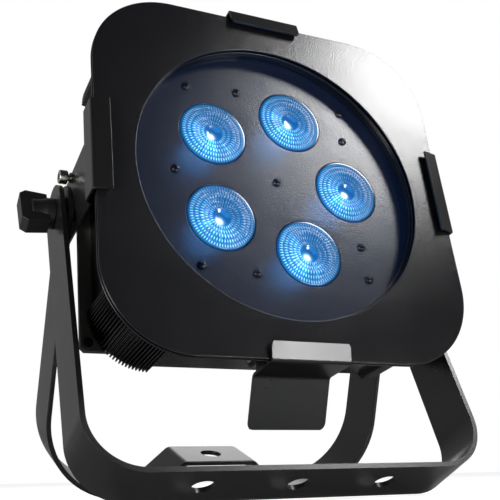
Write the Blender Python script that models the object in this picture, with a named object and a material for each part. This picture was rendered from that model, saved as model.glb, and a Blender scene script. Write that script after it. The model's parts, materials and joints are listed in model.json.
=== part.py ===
"""Par can light: a flat LED wash light with five lenses, a slide-in colour
frame held by four clips, and two hinged yokes that open into a floor stand.

The lamp head is modelled in its own frame: X to the right, Y from the front
face to the back, Z up the face. The empty "head" tilts that frame about the
yoke pivots, so the face looks slightly upwards.
"""
import math

import bmesh
import bpy
from mathutils import Matrix, Vector
from mathutils.geometry import tessellate_polygon

GAP = 0.0003
SHEET = 0.0015

# Stance: the tilt of the face and the lean of the two yokes from vertical
FACE_TILT = math.radians(11.35)
FRONT_LEAN = math.radians(25.5)
REAR_LEAN = math.radians(-17.8)

# Yoke pivots, in the head's frame, and where they stand above the floor
PIVOT_Y = 0.062
PIVOT_Z = -0.002
STAND_Y = 0.01191

# Colour frame: two thin sheets joined along the top edge
FRAME_SIDE = 0.190
FRAME_CORNER_R = 0.0424
APERTURE_R = 0.076
FRAME_SHEET = 0.0010
FRAME_DEPTH = 0.0036
FRAME_DROP = 0.0012
FRAME_FOLD = 0.045

# Clips round the colour frame
CLIP_WIDTH = 0.040
CLIP_SHEET = 0.0012
CLIP_REACH = 0.0972
CLIP_LIP = 0.0085
LIP_FRONT = -0.0028
LIP_BEND = -0.0010
TOP_CLIP_DEPTHS = (0.0140, 0.0180, 0.0320)
SIDE_CLIP_HALF = 0.022
BRACKET_DEPTHS = (0.0110, 0.0165, 0.0835)
ARM_X = 0.09125
SIDE_BOLT_Y = 0.0550
SIDE_BOLT_Z = 0.0160
SIDE_BOLT_HOLE_R = 0.0020

# Body: a ribbed ring in front of a sheet-metal box
BEZEL_FRONT = 0.0042
BODY_FRONT = 0.0085
BODY_BACK = 0.0510
BODY_FLAT = 0.084
BODY_INNER = 0.0805
RIB_CENTRE = 0.0583
RIB_OUTER_R = 0.0287
RIB_DEPTH = 0.0018
RIB_COUNT = 26
WELL_R = 0.0757
PLATE_HALF_X = 0.0902
PLATE_LOW = -0.0775
PLATE_SHOULDER = 0.0
PLATE_TOP_HALF = 0.0825
PLATE_TOP_R = 0.027
TRAY_HALF_X = 0.0740
TRAY_LOW = -0.0620
TRAY_HIGH = 0.0560
BOX_BACK = 0.0850
BOX_FRONT = BODY_BACK + SHEET + 2 * GAP
BOX_SCREWS = [(-0.0865, -0.0735), (-0.060, 0.062), (0.0865, -0.0735), (0.060, 0.062)]
BOX_WINDOW = (0.060, 0.050)

# Light engine
PANEL_T = 0.0015
LENS_R = 0.0173
LENS_GAP = 0.0005
LENS_CIRCLE = 0.0402
SCREW_CIRCLE = 0.0540
CORNER_SCREW_X = 0.0448
CORNER_SCREW_Z = 0.0497
HOLDER_FRONT = 0.0130
HOLDER_BACK = 0.0150
BOARD_Y = 0.0220
BOARD_T = 0.0016
SINK_Y = 0.0240
SINK_HALF = 0.066
SINK_BASE_T = 0.0050
SINK_BACK = 0.0480
FIN_COUNT = 12
FIN_T = 0.0024

# Rear panel layout, in the head's X and Z
INLET_AT = (-0.055, -0.048)
OUTLET_AT = (-0.020, -0.048)
FUSE_AT = (-0.055, -0.018)
DMX_IN_AT = (0.022, -0.046)
DMX_OUT_AT = (0.056, -0.046)
DISPLAY_AT = (0.036, 0.030)
BUTTON_Z = 0.010
BUTTON_X = [0.0165, 0.0295, 0.0425, 0.0555]
BUTTON_R = 0.0034
MAINS_HALF = (0.0138, 0.0102)
DMX_R = 0.0112
FUSE_R = 0.0064
DISPLAY_HALF = (0.0220, 0.0090)
SUPPLY_Y = 0.0590
CONTROL_Y = 0.0720
SOCKET_DEPTH = 0.0700

# Yokes
STRAP_W = 0.0295
STRAP_T = 0.0024
FRONT_HALF = 0.0998
REAR_HALF = 0.0955
FRONT_REACH = 0.1475
FRONT_BEND = 0.0268
REAR_BEND = 0.0420
BAR_HOLE_R = 0.0055
BAR_HOLE_PITCH = 0.0457
HAT_TOP_HALF = 0.0200
HAT_FOOT_HALF = 0.0380
HAT_RISE = 0.0170

# Knobs and pivot hardware
KNOB_BASE = 0.1001
KNOB_TIP = 0.1165
STUD_R = 0.0030
HOLE_R = 0.0034

# Bottom latch
LATCH_PIN_Y = 0.0115
LATCH_PIN_Z = -0.0920
LATCH_PIN_R = 0.0012
FLAP_BEND_Y = 0.0190
FLAP_LENGTH = 0.0250
FLAP_LEAN = math.radians(28)

PIVOT_HEIGHT = (FRONT_REACH * math.cos(FRONT_LEAN)
                + STRAP_W / 2 * math.sin(FRONT_LEAN))
REAR_REACH = ((PIVOT_HEIGHT - STRAP_W / 2 * math.sin(-REAR_LEAN))
              / math.cos(REAR_LEAN))


# ---------------------------------------------------------------- helpers

def clear_scene():
    for obj in list(bpy.data.objects):
        bpy.data.objects.remove(obj, do_unlink=True)


def material(name, colour, roughness, metallic=0.0):
    mat = bpy.data.materials.new(name)
    mat.use_nodes = True
    shader = mat.node_tree.nodes["Principled BSDF"]
    shader.inputs["Base Color"].default_value = (*colour, 1.0)
    shader.inputs["Roughness"].default_value = roughness
    shader.inputs["Metallic"].default_value = metallic
    return mat


def add_object(name, points, faces, mat, parent=None, smooth_angle=35):
    mesh = bpy.data.meshes.new(name)
    mesh.from_pydata([tuple(p) for p in points], [], faces)
    bm = bmesh.new()
    bm.from_mesh(mesh)
    bmesh.ops.remove_doubles(bm, verts=bm.verts, dist=1e-7)
    bmesh.ops.recalc_face_normals(bm, faces=bm.faces)
    bm.to_mesh(mesh)
    bm.free()
    mesh.shade_smooth()
    mesh.set_sharp_from_angle(angle=math.radians(smooth_angle))
    obj = bpy.data.objects.new(name, mesh)
    bpy.context.scene.collection.objects.link(obj)
    if mat is not None:
        mesh.materials.append(mat)
    obj.parent = parent
    return obj


def empty(name, location, rotation=(0, 0, 0), parent=None):
    obj = bpy.data.objects.new(name, None)
    bpy.context.scene.collection.objects.link(obj)
    obj.location = location
    obj.rotation_euler = rotation
    obj.parent = parent
    return obj


def arc(cu, cv, radius, start, end, steps):
    """Points on an arc; angles in degrees."""
    out = []
    for i in range(steps + 1):
        a = math.radians(start + (end - start) * i / steps)
        out.append((cu + radius * math.cos(a), cv + radius * math.sin(a)))
    return out


def circle(radius, steps=24, cu=0.0, cv=0.0):
    return arc(cu, cv, radius, 0, 360, steps)[:-1]


def rounded_rect(hu, hv, radius, steps=6, cu=0.0, cv=0.0):
    out = []
    for su, sv, start in ((1, 1, 0), (-1, 1, 90), (-1, -1, 180), (1, -1, 270)):
        out += arc(cu + su * (hu - radius), cv + sv * (hv - radius),
                   radius, start, start + 90, steps)
    return out


def place(u, v, w, axis):
    """Map outline (u, v) and depth w to a point, for an extrusion along axis."""
    if axis == "X":
        return Vector((w, u, v))
    if axis == "Y":
        return Vector((u, w, v))
    return Vector((u, v, w))


def prism(name, outer, low, high, axis, mat, parent=None, holes=(), smooth_angle=35):
    """Extrude an outline with holes between two depths along an axis."""
    loops = [list(outer)] + [list(hole) for hole in holes]
    flat = [[Vector((u, v, 0.0)) for u, v in loop] for loop in loops]
    count = sum(len(loop) for loop in loops)
    points = [place(u, v, low, axis) for loop in loops for u, v in loop]
    points += [place(u, v, high, axis) for loop in loops for u, v in loop]
    faces = []
    for a, b, c in tessellate_polygon(flat):
        faces.append((a, b, c))
        faces.append((a + count, c + count, b + count))
    start = 0
    for loop in loops:
        size = len(loop)
        for i in range(size):
            a = start + i
            b = start + (i + 1) % size
            faces.append((a, b, b + count, a + count))
        start += size
    return add_object(name, points, faces, mat, parent, smooth_angle)


def block(name, low, high, mat, parent=None):
    outline = [(low[0], low[2]), (high[0], low[2]), (high[0], high[2]), (low[0], high[2])]
    return prism(name, outline, low[1], high[1], "Y", mat, parent)


def turned(name, profile, axis, mat, parent=None, steps=24, centre=(0, 0, 0)):
    """Turn a profile of (radius, depth) points, ending on the axis at both ends."""
    points = []
    rings = []
    for radius, depth in profile:
        ring = []
        for u, v in ([(0.0, 0.0)] if radius == 0 else circle(radius, steps)):
            ring.append(len(points))
            points.append(place(u, v, depth, axis) + Vector(centre))
        rings.append(ring)
    faces = []
    for first, second in zip(rings, rings[1:]):
        for i in range(steps):
            j = (i + 1) % steps
            corners = [first[i % len(first)], first[j % len(first)],
                       second[j % len(second)], second[i % len(second)]]
            faces.append(tuple(dict.fromkeys(corners)))
    return add_object(name, points, faces, mat, parent)


def fillet_path(corners, radii, steps=8):
    """Centre line with each inner corner rounded; returns points and tangents."""
    path = []
    for i, corner in enumerate(corners):
        here = Vector(corner)
        if i == 0 or i == len(corners) - 1:
            other = Vector(corners[1 if i == 0 else i - 1])
            run = (other - here) if i == 0 else (here - other)
            path.append((here, run.normalized()))
            continue
        into = (here - Vector(corners[i - 1])).normalized()
        out = (Vector(corners[i + 1]) - here).normalized()
        turn = into.angle_signed(out)
        sign = -1 if turn > 0 else 1
        normal = Vector((-into.y, into.x)) * sign
        radius = radii[i - 1]
        centre = here - into * radius * math.tan(abs(turn) / 2) + normal * radius
        for k in range(steps + 1):
            angle = sign * abs(turn) * k / steps
            spin = Matrix.Rotation(angle, 2)
            path.append((centre - spin @ (normal * radius), spin @ into))
    return path


def bent_sheet(corners, radii, thickness, steps=8):
    """Outline of a sheet of one thickness bent along a centre line."""
    path = fillet_path(corners, radii, steps)
    half = thickness / 2
    left = [point + Vector((-t.y, t.x)) * half for point, t in path]
    right = [point - Vector((-t.y, t.x)) * half for point, t in path]
    return [tuple(p) for p in left] + [tuple(p) for p in reversed(right)]


def boolean(target, tool, operation):
    """Combine a tool into a target and keep the tool as a hidden guide."""
    tool.name = "tool_" + target.name
    tool.hide_render = True
    tool.display_type = "WIRE"
    modifier = target.modifiers.new(operation.lower(), "BOOLEAN")
    modifier.operation = operation
    modifier.solver = "EXACT"
    modifier.object = tool


def cut(target, tool):
    boolean(target, tool, "DIFFERENCE")


def drill(target, radius, low, high, parent, y=0.0, z=0.0):
    """Cut a round hole along X between two depths."""
    profile = [(0, low), (radius, low), (radius, high), (0, high)]
    cut(target, turned("tool", profile, "X", None, parent, 16, (0, y, z)))


def join(target, tool):
    boolean(target, tool, "UNION")


def keep_inside(target, tool):
    boolean(target, tool, "INTERSECT")


# ---------------------------------------------------------------- materials

MATS = {}


def make_materials():
    MATS["black_coat"] = material("black_coat", (0.018, 0.018, 0.020), 0.45, 0.2)
    MATS["grey_coat"] = material("grey_coat", (0.040, 0.040, 0.038), 0.42, 0.3)
    MATS["nickel"] = material("nickel", (0.62, 0.60, 0.55), 0.25, 1.0)
    MATS["black_plastic"] = material("black_plastic", (0.015, 0.015, 0.016), 0.40)
    MATS["lens"] = material("lens", (0.10, 0.45, 0.95), 0.08)
    MATS["screw"] = material("screw", (0.03, 0.03, 0.035), 0.30, 0.9)
    MATS["aluminium"] = material("aluminium", (0.55, 0.56, 0.58), 0.40, 1.0)
    MATS["board"] = material("board", (0.02, 0.12, 0.05), 0.50)
    MATS["window"] = material("window", (0.10, 0.01, 0.01), 0.10)


# ---------------------------------------------------------------- colour frame

def gel_frame(head):
    half = FRAME_SIDE / 2
    shift = -FRAME_DROP

    def sheet(name, low, high):
        outer = rounded_rect(half, half, FRAME_CORNER_R, 9, 0, shift)
        hole = circle(APERTURE_R, 52, 0, shift)
        return prism(name, outer, low, high, "Y", MATS["black_coat"], head, [hole])

    front = sheet("gel_frame", 0, FRAME_SHEET)
    back = sheet("back_sheet", FRAME_DEPTH - FRAME_SHEET, FRAME_DEPTH)
    inset = FRAME_SHEET / 2
    fold = block("fold", (-FRAME_FOLD, inset, half + shift - FRAME_SHEET),
                 (FRAME_FOLD, FRAME_DEPTH - inset, half + shift), None, head)
    join(front, back)
    join(front, fold)


# ---------------------------------------------------------------- clips

def lip_path(reach):
    """Section of a clip, as (across the edge, depth): lip, then the side plate."""
    return [(reach - CLIP_LIP, LIP_FRONT), (reach, LIP_BEND)]


def top_clip(head):
    reach = CLIP_REACH
    back = BODY_FLAT + GAP + CLIP_SHEET / 2
    turn, step, tail = TOP_CLIP_DEPTHS
    corners = lip_path(reach) + [(reach, turn), (back, step), (back, tail)]
    section = bent_sheet(corners, [0.0012, 0.0015, 0.0015], CLIP_SHEET, 4)
    outline = [(y, z) for z, y in section]
    clip = prism("clip_top", outline, -CLIP_WIDTH / 2, CLIP_WIDTH / 2, "X",
                 MATS["grey_coat"], head)
    front = rounded_rect(CLIP_WIDTH / 2, 0.010, 0.003, 4, 0, reach - CLIP_LIP + 0.0095)
    window = prism("tool", front, -0.01, 0.0005, "Y", None, head)
    rest = block("rest", (-0.03, 0.0002, 0.07), (0.03, 0.04, 0.11), None, head)
    join(window, rest)
    keep_inside(clip, window)


def side_bracket(head, name, side):
    """Clip for one edge of the frame, with an arm back to the yoke pivot."""
    reach = CLIP_REACH - 0.0006
    turn, step, tail = BRACKET_DEPTHS
    corners = lip_path(reach) + [(reach, turn), (ARM_X, step), (ARM_X, tail)]
    section = bent_sheet(corners, [0.0014, 0.0020, 0.0020], CLIP_SHEET, 4)
    outline = [(side * x, y) for x, y in section]
    bracket = prism(name, outline, -0.030, 0.030, "Z", MATS["grey_coat"], head)
    front = SIDE_CLIP_HALF
    profile = ([(-0.006, -front), (0.0135, -front), (0.020, -0.016)]
               + arc(0.070, -0.006, 0.0100, -90, 0, 5)
               + arc(0.0715, 0.0095, 0.0085, 0, 90, 5)
               + [(0.020, 0.022), (0.0135, front + 0.004), (-0.006, front + 0.004)])
    keep = prism("tool", profile, side * 0.080, side * 0.105, "X", None, head)
    keep_inside(bracket, keep)
    drill(bracket, HOLE_R, side * 0.080, side * 0.105, head, PIVOT_Y, PIVOT_Z)
    drill(bracket, SIDE_BOLT_HOLE_R, side * 0.080, side * 0.105, head,
          SIDE_BOLT_Y, SIDE_BOLT_Z)


def side_bolt(head, name, side):
    """Nickel cap screw through the side bracket, with its washer and nut."""
    face = ARM_X + CLIP_SHEET / 2 + GAP
    nut = ARM_X - CLIP_SHEET / 2 - GAP
    profile = [(0, nut - 0.0028), (0.0017, nut - 0.0028), (0.0017, nut - 0.0025),
               (0.0032, nut - 0.0025), (0.0032, nut), (0.0017, nut), (0.0017, face),
               (0.0028, face), (0.0028, face + 0.0010), (0.0018, face + 0.0012),
               (0.0018, face + 0.0022), (0.0034, face + 0.0022),
               (0.0036, face + 0.0028), (0.0036, face + 0.0058),
               (0.0031, face + 0.0064), (0, face + 0.0064)]
    profile = [(radius, side * depth) for radius, depth in profile]
    turned(name, profile, "X", MATS["nickel"], head, 12, (0, SIDE_BOLT_Y, SIDE_BOLT_Z))


# ---------------------------------------------------------------- bottom latch

def latch(head):
    """Hinged clip under the frame: lip in front, finger flap below."""
    pin = empty("latch_axis", (0, LATCH_PIN_Y, LATCH_PIN_Z), parent=head)
    reach = CLIP_REACH
    flap_y = FLAP_LENGTH * math.sin(FLAP_LEAN)
    flap_z = FLAP_LENGTH * math.cos(FLAP_LEAN)
    corners = lip_path(reach) + [(reach, FLAP_BEND_Y),
                                 (reach + flap_z, FLAP_BEND_Y + flap_y)]
    section = bent_sheet(corners, [0.0012, 0.0030], CLIP_SHEET, 5)
    outline = [(y - LATCH_PIN_Y, -z - LATCH_PIN_Z) for z, y in section]
    clip = prism("latch_clip", outline, -CLIP_WIDTH / 2, CLIP_WIDTH / 2, "X",
                 MATS["grey_coat"], pin)
    high = -reach + CLIP_LIP + 0.001 - LATCH_PIN_Z
    low = -reach - flap_z - 0.0004 - LATCH_PIN_Z
    outline = rounded_rect(CLIP_WIDTH / 2, (high - low) / 2, 0.0035, 5, 0, (high + low) / 2)
    keep = prism("tool", outline, -0.03, 0.04, "Y", None, pin)
    keep_inside(clip, keep)
    ear_x = CLIP_WIDTH / 2 - CLIP_SHEET - 0.0004
    plate = -reach - LATCH_PIN_Z
    for side in (-1, 1):
        outline = [(-0.0052, plate), (0.0052, plate)] + arc(0, 0, 0.0032, 0, 180, 8)
        ear = prism("tool", outline, side * ear_x, side * (ear_x + CLIP_SHEET), "X",
                    None, pin, [circle(LATCH_PIN_R + 0.0003, 12)])
        join(clip, ear)
    turned("latch_pin", [(0, -0.0255), (0.0021, -0.0255), (0.0021, -0.0243),
                         (LATCH_PIN_R, -0.0243), (LATCH_PIN_R, 0.0243),
                         (0.0021, 0.0243), (0.0021, 0.0255), (0, 0.0255)],
           "X", MATS["nickel"], head, 12, (0, LATCH_PIN_Y, LATCH_PIN_Z))


def latch_mount(head):
    """Channel under the body whose two ears carry the latch pin."""
    half = 0.0231
    top = BODY_FLAT + GAP
    section = bent_sheet([(-half, LATCH_PIN_Z - 0.0035), (-half, -top - 0.0006),
                          (half, -top - 0.0006), (half, LATCH_PIN_Z - 0.0035)],
                         [0.0012, 0.0012], CLIP_SHEET, 4)
    mount = prism("latch_mount", section, 0.0060, 0.0200, "Y", MATS["grey_coat"], head)
    foot = LATCH_PIN_Z - 0.0033
    profile = ([(0.0060, -0.080), (0.0060, -0.087)]
               + [(LATCH_PIN_Y - 0.0030, foot), (LATCH_PIN_Y + 0.0030, foot)]
               + [(0.0200, -0.087), (0.0200, -0.080)])
    keep = prism("tool", profile, -0.03, 0.03, "X", None, head)
    keep_inside(mount, keep)
    drill(mount, LATCH_PIN_R + GAP, -0.03, 0.03, head, LATCH_PIN_Y, LATCH_PIN_Z)


def latch_spring(head):
    """Torsion spring coiled on the latch pin, with one tail on the body."""
    coil_r = 0.0023
    wire_r = 0.00035
    turns = 4
    points = []
    steps = turns * 8
    for i in range(steps + 1):
        angle = 2 * math.pi * i / 8
        points.append((-0.004 + 0.008 * i / steps,
                       coil_r * math.cos(angle), coil_r * math.sin(angle)))
    points.append((0.0042, coil_r, 0.0040))
    curve = bpy.data.curves.new("latch_spring", "CURVE")
    curve.dimensions = "3D"
    curve.bevel_depth = wire_r
    curve.bevel_resolution = 0
    curve.use_fill_caps = True
    spline = curve.splines.new("POLY")
    spline.points.add(len(points) - 1)
    for target, point in zip(spline.points, points):
        target.co = (*point, 1.0)
    curve.materials.append(MATS["nickel"])
    obj = bpy.data.objects.new("latch_spring", curve)
    bpy.context.scene.collection.objects.link(obj)
    obj.location = (0, LATCH_PIN_Y, LATCH_PIN_Z)
    obj.parent = head


# ---------------------------------------------------------------- body

def ribbed_outline():
    """Square ring outline whose four rounded corners are cut into ribs."""
    points = []
    pitch = 90 / RIB_COUNT
    for su, sv, start in ((1, 1, 0), (-1, 1, 90), (-1, -1, 180), (1, -1, 270)):
        cu = su * RIB_CENTRE
        cv = sv * RIB_CENTRE
        for k in range(RIB_COUNT):
            first = start + k * pitch
            for offset, radius in ((0.30, RIB_OUTER_R), (0.80, RIB_OUTER_R - RIB_DEPTH)):
                a = math.radians(first + offset * pitch)
                points.append((cu + radius * math.cos(a), cv + radius * math.sin(a)))
        run = math.radians(start + 90)
        along = (-math.sin(run), math.cos(run))
        out = (math.cos(run), math.sin(run))
        for step in (0.0012, 2 * RIB_CENTRE - 0.0012):
            base = (cu + along[0] * step, cv + along[1] * step)
            depth = BODY_FLAT - RIB_CENTRE
            points.append((base[0] + out[0] * depth, base[1] + out[1] * depth))
    return points


def body(head):
    inner = rounded_rect(BODY_INNER, BODY_INNER, 0.027, 6)
    prism("housing", ribbed_outline(), BODY_FRONT, BODY_BACK, "Y", MATS["black_coat"],
          head, [inner], 50)
    outer = rounded_rect(BODY_FLAT, BODY_FLAT, RIB_OUTER_R - 0.002, 6)
    bezel = prism("front_bezel", outer, BEZEL_FRONT, BODY_FRONT - GAP, "Y",
                  MATS["black_coat"], head, [circle(WELL_R, 48)])
    for turn in range(4):
        slot = block("tool", (0.0700, BODY_FRONT - 0.0018, -0.0140),
                     (0.0900, BODY_FRONT + 0.0010, 0.0140), None, head)
        slot.data.transform(Matrix.Rotation(turn * math.pi / 2, 4, "Y"))
        cut(bezel, slot)
    holes = [circle(0.0016, 8, x, z) for x, z in BOX_SCREWS]
    window = rounded_rect(*BOX_WINDOW, 0.010, 4)
    corner = PLATE_TOP_HALF - PLATE_TOP_R
    outer = mirrored(plate_foot() + [(PLATE_TOP_HALF, 0.020)]
                     + arc(corner, corner, PLATE_TOP_R, 0, 90, 6))
    prism("mid_plate", outer, BODY_BACK + GAP, BODY_BACK + GAP + SHEET, "Y",
          MATS["grey_coat"], head, holes + [window])
    for index, (x, z) in enumerate(BOX_SCREWS):
        box_screw(head, f"box_screw_{index + 1}", x, z)


def plate_foot():
    """Right-hand outline of the plates behind the body, from the bottom up."""
    corner = 0.002
    return [(PLATE_HALF_X - corner, PLATE_LOW), (PLATE_HALF_X, PLATE_LOW + corner),
            (PLATE_HALF_X, PLATE_SHOULDER)]


def mirrored(right):
    """Close a right-hand outline with its mirror image."""
    return right + [(-x, z) for x, z in reversed(right)]


def box_screw(head, name, x, z):
    front = BODY_BACK + GAP
    profile = [(0, front - 0.0018), (0.0022, front - 0.0014), (0.0024, front - GAP),
               (0.0012, front - GAP), (0.0012, BOX_FRONT + 0.0060), (0, BOX_FRONT + 0.0060)]
    turned(name, profile, "Y", MATS["screw"], head, 8, (x, 0, z))


def rear_box(head):
    """Sheet-metal tray for the electronics, with a flange against the plate."""
    middle = (TRAY_LOW + TRAY_HIGH) / 2
    half = (TRAY_HIGH - TRAY_LOW) / 2
    outer = rounded_rect(TRAY_HALF_X, half, 0.003, 3, 0, middle)
    box = prism("rear_box", outer, BOX_FRONT, BOX_BACK, "Y", MATS["grey_coat"], head)
    outline = mirrored(plate_foot() + [(0.076, 0.060), (0.070, 0.068)])
    holes = [circle(0.0016, 8, x, z) for x, z in BOX_SCREWS]
    join(box, prism("tool", outline, BOX_FRONT, BOX_FRONT + SHEET, "Y", None, head, holes))
    inner = rounded_rect(TRAY_HALF_X - SHEET, half - SHEET, 0.0015, 3, 0, middle)
    cut(box, prism("tool", inner, BOX_FRONT - 0.01, BOX_BACK - SHEET, "Y", None, head))
    for outline in back_openings():
        cut(box, prism("tool", outline, BOX_BACK - 0.004, BOX_BACK + 0.004, "Y", None, head))


def back_openings():
    outlines = []
    for x, z in (INLET_AT, OUTLET_AT):
        outlines.append(rounded_rect(MAINS_HALF[0] + GAP, MAINS_HALF[1] + GAP, 0.002, 1, x, z))
    for x, z in (DMX_IN_AT, DMX_OUT_AT):
        outlines.append(circle(DMX_R + GAP, 16, x, z))
    outlines.append(circle(FUSE_R + GAP, 12, *FUSE_AT))
    outlines.append(rounded_rect(DISPLAY_HALF[0] + GAP, DISPLAY_HALF[1] + GAP, 0.001, 1,
                                 *DISPLAY_AT))
    for x in BUTTON_X:
        outlines.append(circle(BUTTON_R + GAP, 10, x, BUTTON_Z))
    return outlines


# ---------------------------------------------------------------- light engine

def lens_places():
    return [arc(0, 0, LENS_CIRCLE, 72 * k, 72 * k, 1)[0] for k in range(5)]


def screw_places():
    places = [(0.0, 0.0)]
    for angle in (36, 108, 180, 252, 324):
        places.append(arc(0, 0, SCREW_CIRCLE, angle, angle, 1)[0])
    for su, sv in ((1, 1), (-1, 1), (-1, -1), (1, -1)):
        places.append((su * CORNER_SCREW_X, sv * CORNER_SCREW_Z))
    return places


def light_engine(head):
    back = BODY_FRONT + PANEL_T
    holes = [circle(LENS_R + LENS_GAP, 24, x, z) for x, z in lens_places()]
    holes += [circle(0.0014, 8, x, z) for x, z in screw_places()]
    prism("led_panel", rounded_rect(BODY_INNER - GAP, BODY_INNER - GAP, 0.0267, 6),
          BODY_FRONT, back, "Y", MATS["black_coat"], head, holes)
    holes = [circle(0.0155, 14, x, z) for x, z in lens_places()]
    prism("lens_holder", circle(0.072, 28), HOLDER_FRONT, HOLDER_BACK, "Y",
          MATS["black_plastic"], head, holes)
    for index, (x, z) in enumerate(lens_places()):
        profile = [(0, 0.0092), (0.0055, 0.0081), (0.0110, 0.0072), (LENS_R, 0.0080),
                   (LENS_R, 0.0112), (0.0148, 0.0128), (0.0070, 0.0214),
                   (0.0042, 0.0214), (0, 0.0190)]
        turned(f"lens_{index + 1}", profile, "Y", MATS["lens"], head, 20, (x, 0, z))
    for index, (x, z) in enumerate(screw_places()):
        front = BODY_FRONT - GAP
        profile = [(0, front - 0.0012), (0.0016, front - 0.0011), (0.0022, front),
                   (0.0010, front), (0.0010, HOLDER_FRONT - GAP), (0, HOLDER_FRONT - GAP)]
        turned(f"panel_screw_{index + 1}", profile, "Y", MATS["screw"], head, 8, (x, 0, z))
    board = prism("led_board", circle(0.062, 28), BOARD_Y, BOARD_Y + BOARD_T, "Y",
                  MATS["aluminium"], head)
    for x, z in lens_places():
        chip = prism("tool", rounded_rect(0.0020, 0.0020, 0.0006, 2, x, z),
                     BOARD_Y - 0.0012, BOARD_Y + 0.0004, "Y", None, head)
        join(board, chip)
    heat_sink(head)


def heat_sink(head):
    """Finned plate behind the lamp board."""
    half = SINK_HALF
    base = SINK_Y + SINK_BASE_T
    pitch = (2 * half - FIN_T) / (FIN_COUNT - 1)
    outline = [(-half, SINK_Y), (half, SINK_Y)]
    for k in range(FIN_COUNT - 1, -1, -1):
        x = -half + k * pitch
        outline += [(x + FIN_T, base), (x + FIN_T, SINK_BACK), (x, SINK_BACK), (x, base)]
    clean = [p for i, p in enumerate(outline) if p != outline[i - 1]]
    prism("heat_sink", clean, -half, half, "Z", MATS["aluminium"], head)


# ---------------------------------------------------------------- electronics

def electronics(head):
    face = SUPPLY_Y + BOARD_T
    low = face - BOARD_T / 2
    board = block("power_supply", (-0.070, SUPPLY_Y, 0.000), (0.004, face, 0.052),
                  MATS["board"], head)
    join(board, block("tool", (-0.052, low, 0.018), (-0.024, 0.0780, 0.044), None, head))
    join(board, block("tool", (-0.018, low, 0.010), (0.000, 0.0720, 0.030), None, head))
    for x, z in ((-0.0622, 0.0442), (-0.0622, 0.0260), (-0.0080, 0.0430)):
        join(board, prism("tool", circle(0.0070, 20, x, z), low, 0.0760, "Y", None, head))
    x, z = DISPLAY_AT
    face = CONTROL_Y + BOARD_T
    low = face - BOARD_T / 2
    board = block("control_board", (0.008, CONTROL_Y, 0.000), (0.070, face, 0.048),
                  MATS["board"], head)
    join(board, block("tool", (x - 0.020, low, z - 0.008), (x + 0.020, 0.0825, z + 0.008),
                      None, head))
    for bx in BUTTON_X:
        join(board, block("tool", (bx - 0.003, low, BUTTON_Z - 0.003),
                          (bx + 0.003, 0.0768, BUTTON_Z + 0.003), None, head))
    prism("display_window", rounded_rect(*DISPLAY_HALF, 0.001, 1, x, z),
          0.0832, BOX_BACK + 0.0004, "Y", MATS["window"], head)
    for index, bx in enumerate(BUTTON_X):
        turned(f"menu_button_{index + 1}",
               [(0, 0.0782), (0.0042, 0.0782), (0.0042, 0.0830), (BUTTON_R, 0.0830),
                (BUTTON_R, 0.0870), (0, 0.0870)],
               "Y", MATS["black_plastic"], head, 10, (bx, 0, BUTTON_Z))
    mains_socket(head, "power_inlet", INLET_AT, True)
    mains_socket(head, "power_outlet", OUTLET_AT, False)
    dmx_socket(head, "dmx_in_socket", DMX_IN_AT, True)
    dmx_socket(head, "dmx_out_socket", DMX_OUT_AT, False)
    fuse_cap(head)


def mains_socket(head, name, at, male):
    """Three-pole mains socket: a body through the panel with a flange outside."""
    x, z = at
    face = BOX_BACK + GAP
    hu, hv = MAINS_HALF
    socket = prism(name, rounded_rect(hu + 0.0022, hv + 0.0022, 0.002, 3, x, z),
                   face, face + 0.0022, "Y", MATS["black_plastic"], head)
    core = prism("tool", rounded_rect(hu, hv, 0.002, 1, x, z), 0.0680, face + 0.0010,
                 "Y", None, head)
    join(socket, core)
    if male:
        well = [(x - hu + 0.002, z - hv + 0.0020), (x + hu - 0.002, z - hv + 0.0020),
                (x + hu - 0.002, z + 0.003), (x + hu - 0.006, z + hv - 0.002),
                (x - hu + 0.006, z + hv - 0.002), (x - hu + 0.002, z + 0.003)]
        cut(socket, prism("tool", well, 0.0710, face + 0.004, "Y", None, head))
    for dx, dz in ((-0.007, -0.002), (0.007, -0.002), (0.0, 0.003)):
        low = (x + dx - 0.0011, 0.0700 if male else 0.0720, z + dz - 0.0022)
        high = (x + dx + 0.0011, face - 0.004 if male else face + 0.004, z + dz + 0.0022)
        pin = block("tool", low, high, None, head)
        if male:
            join(socket, pin)
        else:
            cut(socket, pin)


def dmx_socket(head, name, at, male):
    """Round three-pole data socket on a square flange."""
    x, z = at
    face = BOX_BACK + GAP
    socket = prism(name, rounded_rect(0.0130, 0.0150, 0.002, 3, x, z), face, face + 0.0020,
                   "Y", MATS["black_plastic"], head)
    join(socket, prism("tool", circle(DMX_R, 16, x, z), 0.0700, face + 0.001, "Y", None, head))
    if male:
        cut(socket, prism("tool", circle(0.0085, 16, x, z), 0.0730, face + 0.004, "Y",
                          None, head))
    for angle in (90, 210, 330):
        px, pz = arc(x, z, 0.0040, angle, angle, 1)[0]
        low = 0.0715 if male else 0.0740
        high = face - 0.003 if male else face + 0.004
        pin = prism("tool", circle(0.0011, 6, px, pz), low, high, "Y", None, head)
        if male:
            join(socket, pin)
        else:
            cut(socket, pin)


def fuse_cap(head):
    profile = [(0, 0.0720), (0.0055, 0.0720), (0.0055, 0.0800), (FUSE_R, 0.0800),
               (FUSE_R, BOX_BACK + GAP), (0.0078, BOX_BACK + GAP), (0.0078, 0.0905),
               (0.0070, 0.0920), (0, 0.0920)]
    x, z = FUSE_AT
    cap = turned("fuse_cap", profile, "Y", MATS["black_plastic"], head, 18, (x, 0, z))
    cut(cap, block("tool", (x - 0.010, 0.0908, z - 0.0008), (x + 0.010, 0.0940, z + 0.0008),
                   None, head))


# ---------------------------------------------------------------- yokes

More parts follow.
